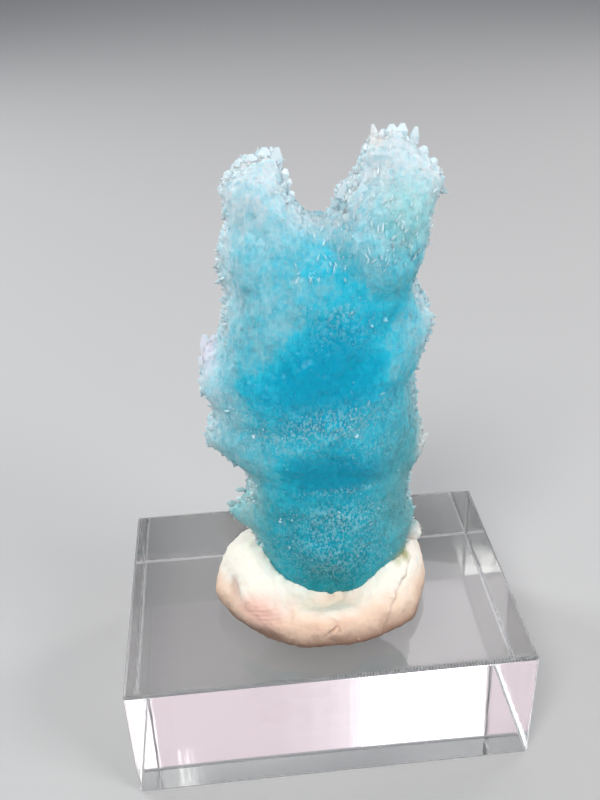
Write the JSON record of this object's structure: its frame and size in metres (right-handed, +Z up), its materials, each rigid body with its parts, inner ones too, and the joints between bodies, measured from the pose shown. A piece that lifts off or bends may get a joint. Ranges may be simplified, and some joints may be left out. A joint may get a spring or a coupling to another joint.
{
  "type": "hemimorphite specimen on a display block",
  "caption": "Upright sky-blue hemimorphite crystal crust with pale forked tips, its foot pressed into white putty on a clear acrylic display block.",
  "frame": {"origin": "centre of the acrylic block's underside", "axes": "+Z up along the specimen, +X to the right seen from the front, +Y from the front face to the back"},
  "size_m": [0.04, 0.0274, 0.0613],
  "materials": {
    "hemimorphite": "translucent milky blue crystal crust, cyan in the thick middle and icy white at the rims, sugary with tiny glassy blades",
    "putty": "off-white kneaded putty, dull, with finger creases",
    "acrylic": "clear cast acrylic with polished faces and lightly worn edges"
  },
  "bodies": {
    "root": {"hemimorphite": "hemimorphite", "mounting_putty": "putty", "acrylic_base": "acrylic"}
  },
  "joints": []
}
